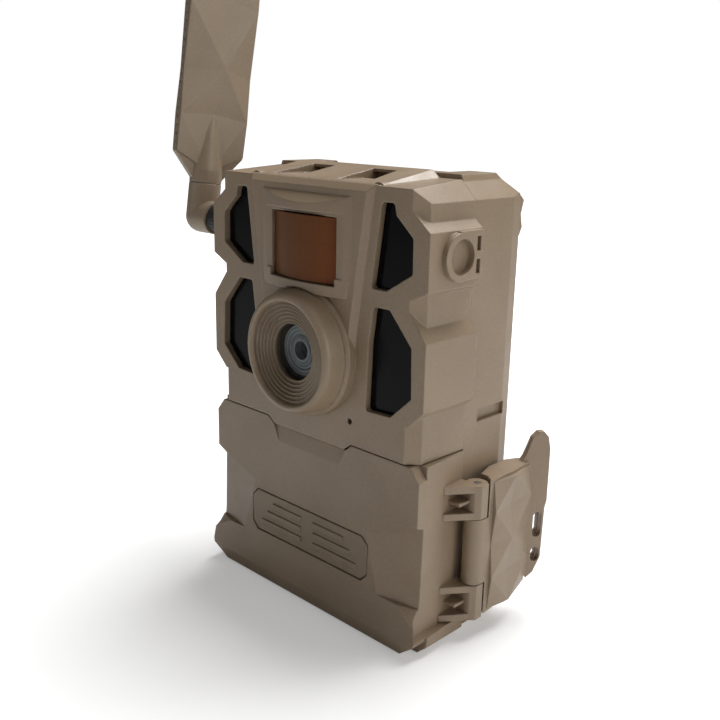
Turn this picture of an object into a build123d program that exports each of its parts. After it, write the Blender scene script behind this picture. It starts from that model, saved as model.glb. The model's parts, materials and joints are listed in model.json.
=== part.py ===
from build123d import *
from math import cos, radians, sin, sqrt
import os

# Trail camera: a split plastic case, a battery door on the left side, a lever latch on the right and
# a swivelling paddle antenna.
#
# Lengths are millimetres.  The parts are drawn in case coordinates: x is across the front, seen from the
# front, y runs back from the front face, z runs up from the base.  save() moves everything so that the
# origin is the mouth of the tripod socket.

# ---- driving dimensions of the case ----
HALF_WIDTH = 46.0           # side wall of the case
BULGE_HALF = 49.0           # side wall at the two raised side bands
FACE_HALF = 42.3            # where the flat front face meets its corner chamfer
CORNER_Y = 3.7              # how far back the corner chamfer runs
SPLIT_Y = 23.5              # joint between the front and rear shells
BACK_Y = 47.5
TOP_Z = 147.8
FACE_TOP_Z = 143.9          # top of the flat front face, where the roof bevel starts
ROOF_RISE = 3.9             # the middle of the roof climbs this much to the joint
SIDE_ROOF_RISE = 1.75       # and each side of it this much
FRONT_SHOULDER = 186.0      # x + z on the sloped shoulder of the front shell
REAR_TOP_Z = 147.0          # flat top of the rear shell
REAR_SHOULDER = 188.8       # x + z on its shoulder
REAR_TOP_SUM = 187.4        # y + z on its sloped rear edge
SEAM_Z = 63.2               # underside of the front shell
SEAM_STEP = 2.4             # how far the seam drops at the middle
SEAM_GAP = 0.4
WALL = 2.2
SOCKET_Y = 41.0             # tripod socket, back from the front face

# ---- front face ----
SPINE_DEPTH = 1.8           # the middle of the face stands this much forward
LENS_Z = 90.4
LENS_BORE_R = 12.0
HOOD_FRONT_Y = -10.3
HOOD_FRONT_R = 18.7
HOOD_BASE_R = 21.4
APERTURE_R = 9.2
APERTURE_Y = -6.8
PIR_HALF = 14.8
PIR_LOW_Z = 116.0
PIR_HIGH_Z = 133.8
BEZEL_FRONT_Y = -5.0
BEZEL_R = 66.0
PORT_Y = 12.5               # antenna port on the left, blank boss on the right
PORT_Z = 125.0
PORT_R = 5.2
WINDOW_DEPTH = 2.3
UPPER_WINDOW = [(27.0, 114.1), (33.2, 114.1), (43.1, 120.2), (42.9, 130.4), (36.3, 136.2),
                (35.5, 139.6), (30.5, 139.6)]
LOWER_WINDOW = [(25.9, 75.9), (36.2, 76.4), (44.2, 83.8), (43.6, 99.0), (34.8, 108.8),
                (28.2, 108.8), (26.6, 97.5)]
EYE_X, EYE_Z, EYE_R = 19.2, 70.8, 1.0

# ---- door, hinge and latch ----
DOOR_REAR_Y = SPLIT_Y - 0.3
DOOR_LOW_Z = 0.4
DOOR_TOP_Z = SEAM_Z - SEAM_GAP
DOOR_FRONT_HALF = 48.6
DOOR_REAR_HALF = 46.5
HINGE_X, HINGE_Y = -49.6, 25.0
HINGE_R = 2.6
HINGE_PIN_R = 1.2
HINGE_SPANS = [(9.0, 19.7), (20.0, 41.7), (42.0, 54.0)]
LATCH_X, LATCH_Y = 51.6, 24.2
LATCH_R = 3.5
LATCH_PIN_R = 1.25
RIB_ZS = [8.6, 18.4, 43.6, 52.4]
RIB_THICK = 2.2
LATCH_LOW_Z, LATCH_HIGH_Z = 8.4, 54.6
RUNNING = 0.05              # radial clearance of a pin in its bore

# ---- antenna ----
ELBOW_X, ELBOW_Z = -73.2, PORT_Z
ELBOW_R = 5.9
ELBOW_REACH = 9.2           # elbow axis to the elbow's face
ANTENNA_LEAN = 8.5          # degrees back from upright
BLADE_TURN = 18.0           # degrees that the blade is turned about its own axis
SEAM_ABOVE = 12.2           # elbow axis to the turning seam
BLADE_HALF = 12.7
BLADE_THICK = 5.6
BLADE_LENGTH = 150.0

# ---- batteries ----
CELL_R = 7.0
CELL_LENGTH = 50.5
CELL_PITCH = 14.25
TRAY_LOW_Z = 3.0
TRAY_WALL = 1.2
CONTACT = 0.8               # contact plate and its pad
TRAY_FRONT_Y = 6.2

parts = {}


def outline(points, radius=0.0):
    face = make_face(Polyline(*points, close=True))
    return fillet(face.vertices(), radius) if radius else face


def plan_prism(points, z0, z1, radius=0.0):
    return extrude(Pos(0, 0, z0) * outline(points, radius), amount=z1 - z0)


def front_prism(points, y0, y1, radius=0.0, taper=0.0):
    """A prism from an outline in x and z, running back from y0 to y1."""
    plane = Plane((0, y0, 0), x_dir=(1, 0, 0), z_dir=(0, -1, 0))
    return extrude(plane * outline(points, radius), amount=y0 - y1, taper=taper)


def side_prism(points, x0, x1, radius=0.0):
    """A prism from an outline in y and z, running across from x0 to x1."""
    plane = Plane((x0, 0, 0), x_dir=(0, 1, 0), z_dir=(1, 0, 0))
    return extrude(plane * outline(points, radius), amount=x1 - x0)


def block(x0, x1, y0, y1, z0, z1):
    return Pos((x0 + x1) / 2, (y0 + y1) / 2, (z0 + z1) / 2) * Box(x1 - x0, y1 - y0, z1 - z0)


def rod_x(x0, x1, y, z, radius):
    return Pos((x0 + x1) / 2, y, z) * Rot(0, 90, 0) * Cylinder(radius, x1 - x0)


def rod_y(x, y0, y1, z, radius):
    return Pos(x, (y0 + y1) / 2, z) * Rot(90, 0, 0) * Cylinder(radius, y1 - y0)


def rod_z(x, y, z0, z1, radius):
    return Pos(x, y, (z0 + z1) / 2) * Cylinder(radius, z1 - z0)


def mirrored(points):
    return [(-x, z) for x, z in reversed(points)]


def both_sides(points):
    return [points, mirrored(points)]


def lathe(profile, x, z):
    """A solid of revolution about the line along y through x, z, from (radius, y) points."""
    face = make_face(Polyline(*[(r, y, 0) for r, y in profile], close=True))
    return Pos(x, 0, z) * revolve(face, axis=Axis.Y)


def facets(corners, faces):
    """A closed solid with flat faces: corner points by name, and each face as a string of names."""
    shell = []
    for face in faces:
        for k in range(1, len(face) - 1):
            ring = [corners[face[0]], corners[face[k]], corners[face[k + 1]]]
            shell.append(Face(Wire.make_polygon(ring, close=True)))
    return Solid(Shell(shell))


def save(name, solid):
    parts[name] = Pos(0, -SOCKET_Y, 0) * solid


# ------------------------------------------------------------------ the case's outer and inner forms
def case_block(inset, shoulder):
    """The case's plan up to the roof, with sloped shoulders, every wall moved in by inset."""
    half = HALF_WIDTH - inset
    plan = [(-FACE_HALF + 0.4 * inset, inset), (FACE_HALF - 0.4 * inset, inset),
            (half, CORNER_Y + 0.4 * inset), (half, 42.5), (half - 1.2, BACK_Y - inset),
            (-half + 1.2, BACK_Y - inset), (-half, 42.5), (-half, CORNER_Y + 0.4 * inset)]
    form = plan_prism(plan, 0, TOP_Z - inset)
    total = shoulder - inset * sqrt(2)
    for wedge in both_sides([(30, total - 30), (60, total - 60), (60, total), (30, total)]):
        form -= front_prism(wedge, -5, 60)
    return form


def front_form(inset):
    """The form of the front half, under the sloping sides of its roof."""
    low = FACE_TOP_Z - inset
    high = low + SIDE_ROOF_RISE * 60 / SPLIT_Y
    return case_block(inset, FRONT_SHOULDER) - side_prism([(0, low), (60, high), (60, 200), (0, 200)], -70, 70)


def rear_form(inset):
    """The form of the rear half, with a flat roof and a sloped rear edge."""
    ridge = front_prism([(-42.2 + inset, 142.4), (42.2 - inset, 142.4), (40.0 - inset, REAR_TOP_Z),
                         (inset - 40.0, REAR_TOP_Z)], SPLIT_Y - 10, 60)
    form = case_block(inset, FRONT_SHOULDER) + (case_block(inset, REAR_SHOULDER) & ridge)
    form -= block(-80, 80, -5, 80, REAR_TOP_Z - inset, 200)
    total = REAR_TOP_SUM - inset * sqrt(2)
    return form - side_prism([(30, total - 30), (60, total - 60), (60, total), (30, total)], -70, 70)


def roof_middle():
    """The raised middle of the roof, which climbs from the front edge to the joint."""
    front, rear, foot = 28.6, 28.9, 32.4
    side_z = FACE_TOP_Z + SIDE_ROOF_RISE
    top_z = FACE_TOP_Z + ROOF_RISE
    corners = {"a": (-front, 0, FACE_TOP_Z), "b": (front, 0, FACE_TOP_Z), "c": (rear, SPLIT_Y, top_z),
               "d": (-rear, SPLIT_Y, top_z), "e": (foot, SPLIT_Y, side_z), "f": (-foot, SPLIT_Y, side_z),
               "g": (-front, 0, 140), "h": (front, 0, 140),
               "i": (foot, SPLIT_Y, 140), "j": (-foot, SPLIT_Y, 140)}
    return facets(corners, ["abcd", "ceb", "beih", "adf", "afjg", "ijfdce", "gjih", "aghb"])


UPPER_BULGE = [(38.0, 138.5), (41.6, 138.5), (BULGE_HALF, 132.4), (BULGE_HALF, 115.8), (42.6, 112.7),
               (38.0, 112.7)]
LOWER_BULGE = [(38.0, 109.4), (42.5, 109.4), (BULGE_HALF, 101.1), (BULGE_HALF, 80.6), (43.3, 75.2),
               (38.0, 75.2)]


def spine():
    """The raised middle of the front face, with sloped sides that draw in towards the lens."""
    base = [(-28.7, FACE_TOP_Z + 2), (-22.0, 100), (-20.6, 84), (20.6, 84), (22.0, 100),
            (28.7, FACE_TOP_Z + 2)]
    rise = FACE_TOP_Z
    band = front_prism(base, 0.5, -SPINE_DEPTH, taper=42)
    return band - side_prism([(-30, rise - 30), (20, rise + 20), (20, rise + 60), (-30, rise + 60)], -70, 70)


def sensor_bezel():
    """The bowed block that frames the motion sensor's lens."""
    frame = [(-24.0, 140.9), (-19.0, 109.8), (19.0, 109.8), (24.0, 140.9)]
    bowed = front_prism(frame, -6, -0.5)
    bowed &= rod_z(0, BEZEL_FRONT_Y + BEZEL_R, 100, 150, BEZEL_R)
    brow = 140.4 + SPINE_DEPTH
    bowed -= side_prism([(-12, brow - 12), (2, brow + 2), (2, 160), (-12, 160)], -40, 40)
    recess = [(-21.4, 134.9), (-18.9, 115.4), (18.9, 115.4), (21.4, 134.9)]
    bowed -= front_prism(recess, -9, -2.6)
    bowed -= side_prism([(-9, 109.4), (-2.6, 116.0), (-2.6, 120), (-9, 120)], -18.9, 18.9)
    return bowed


def front_shell():
    form = front_form(0) + roof_middle()
    for pair in (UPPER_BULGE, LOWER_BULGE):
        for band in both_sides(pair):
            form += front_prism(band, 0, SPLIT_Y)
    form += spine() + sensor_bezel()
    form += lathe([(0, 1), (HOOD_BASE_R, 1), (HOOD_BASE_R, -2.6), (HOOD_BASE_R - 0.9, -3.4),
                   (0, -3.4)], 0, LENS_Z)
    form -= block(-80, 80, SPLIT_Y, 80, -5, 200)
    form -= block(-80, 80, -20, 80, -5, SEAM_Z)
    low = SEAM_Z - SEAM_STEP
    form += front_prism([(-19.7, SEAM_Z + 1), (-19.7, SEAM_Z), (-16.8, low), (16.8, low),
                         (19.7, SEAM_Z), (19.7, SEAM_Z + 1)], 0, 1.0)
    # inside, open to the rear shell
    cavity = front_form(WALL) & block(-80, 80, 0, 80, SEAM_Z + WALL, 200)
    cavity -= block(-24, 24, 0, 22, 139.8, 160)
    for band in ([(38, 134.0), (46.8, 131.0), (46.8, 117.0), (38, 115.4)],
                 [(38, 105.0), (46.8, 99.9), (46.8, 82.0), (38, 77.6)]):
        for pocket in both_sides(band):
            cavity += front_prism(pocket, WALL + 1.6, SPLIT_Y)
    form -= cavity
    # openings in the face: four windows, the motion sensor, the lens and the two small eyes
    for window in (UPPER_WINDOW, LOWER_WINDOW):
        for hole in both_sides(window):
            form -= front_prism(hole, -1, WINDOW_DEPTH + 1.6, radius=1.1)
    form -= front_prism([(-PIR_HALF, PIR_LOW_Z - 3), (PIR_HALF, PIR_LOW_Z - 3), (PIR_HALF, PIR_HIGH_Z),
                         (-PIR_HALF, PIR_HIGH_Z)], -9, 4)
    form -= rod_y(0, -4, 4, LENS_Z, LENS_BORE_R)
    form -= rod_y(0, -12, -3.4, LENS_Z, HOOD_BASE_R - 0.7)
    for side in (-1, 1):
        form -= rod_y(side * EYE_X, -1, 4, EYE_Z, EYE_R)
    # two wedge pockets in the roof, each ending in a slot
    for corners in both_sides([(8.6, 3.6), (21.2, 3.6), (18.6, 19.0), (8.6, 19.0)]):
        form -= plan_prism(corners, 144.3, 160)
    for side in (-1, 1):
        x0, x1 = sorted((side * 8.6, side * 18.6))
        form -= block(x0, x1, 15.0, 21.6, 141.2, 146.2)
    # round boss with the blank port on the right, open port on the left
    boss = side_prism([(PORT_Y - 1.0, 118.1), (21.6, 118.1), (21.6, 132.3), (PORT_Y - 1.0, 132.3)],
                      BULGE_HALF - 0.5, BULGE_HALF + 1.9)
    boss += rod_x(BULGE_HALF - 0.5, BULGE_HALF + 1.9, PORT_Y - 0.2, PORT_Z, 7.1)
    form += boss + mirror(boss, Plane.YZ)
    form -= rod_x(BULGE_HALF - 0.4, BULGE_HALF + 3, PORT_Y, PORT_Z, PORT_R)
    for z0 in (119.8, 126.4):
        form -= block(BULGE_HALF + 0.4, BULGE_HALF + 3, 18.7, 20.4, z0, z0 + 4.2)
    form -= rod_x(-BULGE_HALF - 3, -BULGE_HALF + 0.4, PORT_Y, PORT_Z, PORT_R + 0.2)
    form -= rod_x(-BULGE_HALF - 3, -BULGE_HALF + 5, PORT_Y, PORT_Z, 3.2)
    # screw posts that the rear shell's screws bite into
    for x, z in SHELL_SCREWS:
        form += rod_y(x, WALL - 0.5, SPLIT_Y - 0.2, z, 3.0)
        form -= rod_y(x, 12, SPLIT_Y, z, 1.25)
    return form


SHELL_SCREWS = [(-38.5, 112.0), (38.5, 112.0), (-38.5, 70.0), (38.5, 70.0), (-27.5, 141.8), (27.5, 141.8)]


def rear_shell():
    form = rear_form(0)
    form -= block(-30, 30, 20, 80, REAR_TOP_Z - 0.9, 200)
    form -= block(-80, 80, -20, SPLIT_Y, -5, 200)
    # tree bracket: two toothed feet each side of the back, with a strap slot between them
    profile = [(46.0, 140.2), (48.3, 140.0), (49.9, 138.6), (48.7, 134.4), (49.7, 130.2), (48.5, 127.8),
               (46.0, 126.8)]
    for side in (-1, 1):
        x0, x1 = sorted((side * 34.0, side * 44.3))
        for drop in (0.0, 101.5):
            form += side_prism([(y, z - drop) for y, z in profile], x0, x1)
        # the strap loop: a bridge that stands clear of the back
        x0, x1 = sorted((side * 24.0, side * 34.0))
        form += block(x0, x1, BACK_Y - 1, 53.0, 70.0, 74.0) + block(x0, x1, BACK_Y - 1, 53.0, 102.0, 106.0)
        form += block(x0, x1, 52.2, 54.6, 70.0, 106.0)
    # upper room for the electronics, lower room for the battery tray
    form -= rear_form(WALL) & block(-80, 80, 0, 80, SEAM_Z + WALL, 200)
    form -= block(-43.9, 43.9, 0, 36.9, 2.6, SEAM_Z - 0.6)
    form -= block(-40, 40, 36.0, BACK_Y - WALL, 14.0, SEAM_Z - 0.6)
    # short recess on each side wall behind the lower bulge
    for side in (-1, 1):
        x0, x1 = sorted((side * (HALF_WIDTH - 1.6), side * (HALF_WIDTH + 2)))
        form -= block(x0, x1, 29.8, 43.6, 70.6, 74.8)
    # tubes that the shell screws pass through, open at the back for their heads
    for x, z in SHELL_SCREWS:
        tube = rod_y(x, SPLIT_Y, 46.5, z, 3.4)
        form += tube & rear_form(0)
    for x, z in SHELL_SCREWS:
        form -= rod_y(x, SPLIT_Y - 1, 60, z, 1.6)
        form -= rod_y(x, SPLIT_Y + 8, 60, z, 2.8)
    form -= shell_seal()
    # tripod boss in the base
    form += block(-7, 7, 37.0, 46.0, 1.0, 13.8)
    form -= rod_z(0, SOCKET_Y, -1, 9.4, 3.9)
    # hinge knuckle on the left
    z0, z1 = HINGE_SPANS[1]
    knuckle = plan_prism([(-52.0, 25.6), (-51.2, 29.0), (-45.6, 34.5), (-45.6, 26.6), (-48.0, 25.2)], z0, z1)
    knuckle += rod_z(HINGE_X, HINGE_Y, z0, z1, HINGE_R)
    form += knuckle
    form -= rod_z(HINGE_X, HINGE_Y, z0 - 1, z1 + 1, HINGE_PIN_R)
    # the keeper that the latch closes over, and the padlock ear behind the latch's flange
    form += plan_prism([(45.5, 39.5), (46.8, 40.6), (46.8, 44.4), (45.0, 44.8)], 16.0, 48.0)
    ear = plan_prism([(44.2, 43.0), (46.6, 42.8), (48.4, 45.4), (54.7, 56.3), (53.1, 57.3), (44.4, 47.4)], 16.5,
                     38.0)
    form += ear
    for z, tall in ((31.5, 9.0), (20.6, 5.2)):
        form -= padlock_hole(z, tall)
    return form


def padlock_hole(z, tall):
    """A tall oblong hole across the latch's rear flange and the ear behind it."""
    half = tall / 2 - 1.5
    hole = block(-15, 15, -1.5, 1.5, -half, half) + rod_x(-15, 15, 0, half, 1.5) + rod_x(-15, 15, 0, -half, 1.5)
    return Pos(55.05, 53.55, z) * Rot(0, 0, -30) * hole


# ------------------------------------------------------------------ lens, windows and sensors
def optics():
    # the funnel: each tread ends in a small groove at the foot of the riser outside it
    rings = [(17.3, HOOD_FRONT_Y), (16.9, HOOD_FRONT_Y + 0.25), (16.6, HOOD_FRONT_Y + 0.8)]
    first, steps = 16.5, 7
    for k in range(steps):
        radius = first - k * (first - APERTURE_R) / (steps - 1)
        depth = HOOD_FRONT_Y + 1.0 + k * (APERTURE_Y - HOOD_FRONT_Y - 1.0) / (steps - 1)
        rings += [(radius, depth)]
        if k < steps - 1:
            rings += [(radius - 0.05, depth + 0.95), (radius - 0.45, depth + 0.95)]
    rings += [(APERTURE_R, -5.6), (10.2, -5.2), (10.2, -3.45)]
    outside = [(HOOD_BASE_R - 1.0, -3.45), (HOOD_BASE_R - 1.3, -4.6), (HOOD_FRONT_R + 0.6, -8.6),
               (HOOD_FRONT_R + 0.35, -9.3), (HOOD_FRONT_R - 0.1, -9.85), (HOOD_FRONT_R - 0.7, -10.2)]
    save("lens_hood", lathe(rings + outside, 0, LENS_Z))
    save("lens_cover_glass", rod_y(0, -5.0, -4.0, LENS_Z, 10.0))
    barrel = lathe([(3.0, -3.2), (4.2, -3.2), (5.0, -2.6), (6.2, -2.6), (6.6, -3.0), (8.2, -3.0),
                    (8.2, 8.0), (7.0, 8.0), (7.0, 12.0), (4.0, 12.0), (4.0, 1.0), (2.4, 0.5), (3.0, 0.5)],
                   0, LENS_Z)
    save("lens_barrel", barrel)
    dome = [(0, -1.9), (1.6, -1.5), (2.9, -0.4), (2.9, 0.4), (0, 0.4)]
    save("lens_front_element", lathe(dome, 0, LENS_Z))
    save("lens_rear_element", rod_y(0, 8.2, 10.4, LENS_Z, 3.9))
    holder = block(-12.5, 12.5, 6.0, 17.8, LENS_Z - 10, LENS_Z + 10) - rod_y(0, 5, 12.2, LENS_Z, 8.25)
    holder -= block(-14, 14, 12.9, 14.9, LENS_Z - 5.6, LENS_Z + 5.6)
    holder -= rod_y(0, 12, 19, LENS_Z, 6.3)
    save("lens_holder", holder)
    shutter = block(-11.2, 3.9, 13.3, 14.5, LENS_Z - 5.2, LENS_Z + 5.2)
    for x in (-7.4, 0.0):
        shutter -= rod_y(x, 13, 15, LENS_Z, 3.1)
    save("ir_cut_carrier", shutter)
    save("ir_cut_filters", Compound(children=[rod_y(x, 13.6, 14.2, LENS_Z, 3.1) for x in (-7.4, 0.0)]))
    save("ir_cut_coil", block(13.0, 19.5, 8.0, 14.5, LENS_Z - 4, LENS_Z + 4))
    save("image_sensor", block(-4.6, 4.6, 17.0, 17.9, LENS_Z - 4.0, LENS_Z + 4.0))
    board = block(-14, 14, 17.9, 19.1, LENS_Z - 12, LENS_Z + 12)
    save("sensor_board", board)


def grown(points, margin):
    """The same outline, a little larger, by scaling about its middle."""
    mid_x = sum(x for x, _ in points) / len(points)
    mid_z = sum(z for _, z in points) / len(points)
    half_x = max(abs(x - mid_x) for x, _ in points)
    half_z = max(abs(z - mid_z) for _, z in points)
    return [(mid_x + (x - mid_x) * (1 + margin / half_x), mid_z + (z - mid_z) * (1 + margin / half_z))
            for x, z in points]


def windows_and_lamps():
    for level, window in (("upper", UPPER_WINDOW), ("lower", LOWER_WINDOW)):
        for side, hole in zip(("right", "left"), both_sides(window)):
            pane = front_prism(grown(hole, -0.15), WINDOW_DEPTH, WINDOW_DEPTH + 1.4, radius=1.0)
            save(f"ir_window_{level}_{side}", pane)
    for side, sign in (("left", -1), ("right", 1)):
        x0, x1 = sorted((sign * 27.5, sign * 40.5))
        board = block(x0, x1, 9.0, 10.4, 78.0, 136.0)
        board -= rod_y(sign * 38.5, 8, 12, 112.0, 4.6)
        save(f"ir_lamp_board_{side}", board)
        lamps = []
        for row in range(5):
            for column in range(2):
                for low in (80.5, 116.5):
                    lamps.append(lamp(sign * (30.4 + 5.2 * column), low + 4.2 * row))
        save(f"ir_lamps_{side}", Compound(children=lamps))


def lamp(x, z):
    """An infrared lamp: a square package with a domed lens."""
    return block(x - 1.6, x + 1.6, 7.6, 9.0, z - 1.6, z + 1.6) + rod_y(x, 6.8, 7.6, z, 1.3)


def motion_sensor():
    bow = 42.0
    lens = rod_z(0, -4.0 + bow, PIR_LOW_Z - 2.7, PIR_HIGH_Z - 0.3, bow)
    lens -= rod_z(0, -4.0 + bow + 1.0, 90, 150, bow)
    lens &= block(-14.3, 14.3, -6, 4, 100, 150)
    save("pir_lens", lens)
    save("pir_board", block(-11, 11, 8.0, 9.4, PIR_LOW_Z - 1, PIR_HIGH_Z + 1))
    can = rod_y(0, 3.6, 8.0, 125, 4.3) - block(-2.0, 2.0, 3.0, 4.2, 123.5, 126.5)
    save("pir_sensor", can)
    save("pir_sensor_filter", block(-1.95, 1.95, 3.7, 4.2, 123.55, 126.45))


# ------------------------------------------------------------------ electronics
def electronics():
    board = block(-36, 36, 20.2, 21.8, 67.0, 137.0)
    for x, z in SHELL_SCREWS[:4]:
        board -= rod_y(x, 19, 23, z, 4.4)
    save("main_board", board)
    chips = [block(-30, -14, 21.8, 23.4, 100, 116), block(-8, 4, 21.8, 23.0, 96, 108),
             block(-30, -20, 21.8, 23.2, 80, 90), block(8, 14, 21.8, 24.0, 74, 80)]
    save("main_board_chips", Compound(children=chips))
    save("modem_module", block(6, 32, 21.8, 24.6, 92, 122))
    card_socket = block(-33, -6, 14.0, 17.0, 66.2, 80.0)
    card_socket -= block(-31.6, -7.4, 14.6, 16.5, 60, 79.1)
    save("memory_card_socket", card_socket)
    save("memory_card", block(-31.5, -7.5, 14.7, 16.4, 65.6, 79.0))
    save("sim_card_socket", block(8, 26, 14.0, 16.4, 66.2, 80.0))
    save("microphone", rod_y(EYE_X, 3.2, 6.0, EYE_Z, 2.4))
    save("status_light", rod_y(-EYE_X, 0.5, 6.0, EYE_Z, 0.9) + rod_y(-EYE_X, 3.2, 6.0, EYE_Z, 2.4))
    jack = rod_x(-56.5, -42.0, PORT_Y, PORT_Z, 3.1) + rod_x(-45.1, -42.0, PORT_Y, PORT_Z, 4.6)
    save("antenna_socket", jack)
    nut = rod_x(-46.7, -45.2, PORT_Y, PORT_Z, 4.9) - rod_x(-49, -44, PORT_Y, PORT_Z, 3.2)
    save("antenna_socket_nut", nut)


def controls():
    """The switch and the buttons on the underside of the front shell, above the battery tray."""
    for name, x in (("setup_button", -6.0), ("test_button", 2.0)):
        cap = block(x - 2.0, x + 2.0, 8.4, 12.4, SEAM_Z + 0.2, SEAM_Z + 2.6)
        cap += block(x - 2.8, x + 2.8, 7.6, 13.2, SEAM_Z + 2.6, SEAM_Z + 3.4)
        save(name, cap)
    slider = block(12.0, 15.0, 8.8, 12.0, SEAM_Z + 0.2, SEAM_Z + 2.6)
    slider += block(10.8, 16.2, 7.8, 13.0, SEAM_Z + 2.6, SEAM_Z + 3.4)
    save("power_switch_slider", slider)
    base = block(-10, 22, 7.0, 13.8, SEAM_Z + 5.0, SEAM_Z + 6.4)
    save("control_board", base)


def control_openings(form):
    for x in (-6.0, 2.0):
        form -= block(x - 2.2, x + 2.2, 8.2, 12.6, SEAM_Z - 1, SEAM_Z + WALL + 1)
    return form - block(11.7, 19.3, 8.5, 12.3, SEAM_Z - 1, SEAM_Z + WALL + 1)


def shell_seal():
    """The cord between the shells, which lies in a groove in the rear one."""
    ring = front_form(0.7) & block(-80, 80, SPLIT_Y, SPLIT_Y + 0.5, SEAM_Z + 2.5, 200)
    return ring - front_form(1.5)


def seals_and_screws():
    save("shell_gasket", shell_seal())
    screws = []
    for x, z in SHELL_SCREWS:
        shank = rod_y(x, SPLIT_Y - 9.0, SPLIT_Y + 8.1, z, 1.2)
        screws.append(shank + rod_y(x, SPLIT_Y + 8, SPLIT_Y + 10, z, 2.6))
    save("shell_screws", Compound(children=screws))
    insert = rod_z(0, SOCKET_Y, 0.2, 9.2, 3.9) - rod_z(0, SOCKET_Y, -1, 7.8, 2.6)
    save("tripod_insert", insert)


# ------------------------------------------------------------------ batteries
def battery_tray():
    width, depth = 6 * CELL_PITCH, 2 * CELL_PITCH
    x0, y0 = -width / 2, TRAY_FRONT_Y + 0.9
    low = TRAY_LOW_Z + TRAY_WALL + CONTACT
    high = low + CELL_LENGTH + CONTACT + TRAY_WALL
    tray = block(x0 - 0.9, -x0 + 0.9, y0 - 0.9, y0 + depth + 0.9, TRAY_LOW_Z, high)
    tray -= block(x0, -x0, y0 - 2, y0 + depth, TRAY_LOW_Z + TRAY_WALL, high - TRAY_WALL)
    for column in range(1, 6):
        x = x0 + column * CELL_PITCH
        tray += block(x - 0.5, x + 0.5, y0 + CELL_PITCH - 3.0, y0 + CELL_PITCH + 3.0, TRAY_LOW_Z, high)
        for row in (0.5, 1.5):
            for half in (-0.5, 0.5):
                tray -= rod_z(x + half * CELL_PITCH, y0 + row * CELL_PITCH, TRAY_LOW_Z + TRAY_WALL,
                              high - TRAY_WALL, CELL_R + 0.05)
    save("battery_tray", tray)
    cells, low_plates, high_plates = [], [], []
    for column in range(6):
        for row in range(2):
            x, y = x0 + (column + 0.5) * CELL_PITCH, y0 + (row + 0.5) * CELL_PITCH
            up = (column + row) % 2 == 0
            cell = rod_z(x, y, low + (0 if up else 1.0), low + CELL_LENGTH - (1.0 if up else 0), CELL_R)
            tip = low + CELL_LENGTH - 1.0 if up else low
            cells.append(cell + rod_z(x, y, tip, tip + 1.0, 2.7))
            low_plates.append(contact(x, y, TRAY_LOW_Z + TRAY_WALL, low))
            high_plates.append(contact(x, y, high - TRAY_WALL, low + CELL_LENGTH))
    save("battery_cells", Compound(children=cells))
    save("tray_lower_contacts", Compound(children=low_plates))
    save("tray_upper_contacts", Compound(children=high_plates))


def contact(x, y, wall_z, cell_z):
    """A contact plate against the tray's end wall, with a conical pad up to the cell."""
    away = 1 if cell_z > wall_z else -1
    plate = block(x - 4.5, x + 4.5, y - 4.5, y + 4.5, *sorted((wall_z, wall_z + away * 0.4)))
    low, high = sorted((wall_z + away * 0.4, cell_z))
    return plate + rod_z(x, y, low, high, 2.4)


# ------------------------------------------------------------------ door and latch
def door_form():
    front_profile = [(DOOR_REAR_Y, DOOR_LOW_Z), (-0.6, DOOR_LOW_Z), (-2.0, 5.4), (-0.6, 17.0), (0.0, 34.0),
                     (0.0, DOOR_TOP_Z), (DOOR_REAR_Y, DOOR_TOP_Z)]
    form = side_prism(front_profile, -60, 60)
    plan = [(-DOOR_FRONT_HALF - 3, -3), (DOOR_FRONT_HALF + 3, -3), (DOOR_FRONT_HALF, 0),
            (DOOR_REAR_HALF, DOOR_REAR_Y), (-DOOR_REAR_HALF, DOOR_REAR_Y), (-DOOR_FRONT_HALF, 0)]
    skirt = [(-55, -3), (55, -3), (51.2, 0), (49.5, DOOR_REAR_Y), (-49.5, DOOR_REAR_Y), (-51.2, 0)]
    form &= plan_prism(plan, -1, 80) + plan_prism(skirt, -1, 7.0)
    sides = [(-42.6, DOOR_LOW_Z - 1), (42.6, DOOR_LOW_Z - 1), (49.9, 5.4), (51.0, 8.6), (48.8, 17.0), (48.6, 58.4),
             (44.4, DOOR_TOP_Z + 0.6), (-44.4, DOOR_TOP_Z + 0.6), (-48.6, 58.4), (-48.8, 17.0), (-51.0, 8.6),
             (-49.9, 5.4)]
    front_limit = front_prism(sides, -6, 4)
    rear_limit = front_prism([(-45.6, -1), (45.6, -1), (50.6, 3.4), (60, 80), (-60, 80), (-50.6, 3.4)], 3.9, 60)
    return form & (front_limit + rear_limit)


def side_recess():
    """The sunk facet at each front corner of the door, drawn for the right side."""
    corners = {"a": (27.3, 0.05, 36.6), "b": (33.4, -0.55, 16.8),
               "c": (52.0, 3.9, 44.4), "d": (52.0, 3.2, 16.4),
               "e": (52.0, -3.5, 47.6), "f": (52.0, -3.5, 7.6),
               "g": (27.3, -3.5, 36.6), "h": (33.4, -3.5, 16.8)}
    return facets(corners, ["abdc", "gefh", "gace", "hfdb", "ecdf", "ghba"])


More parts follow.
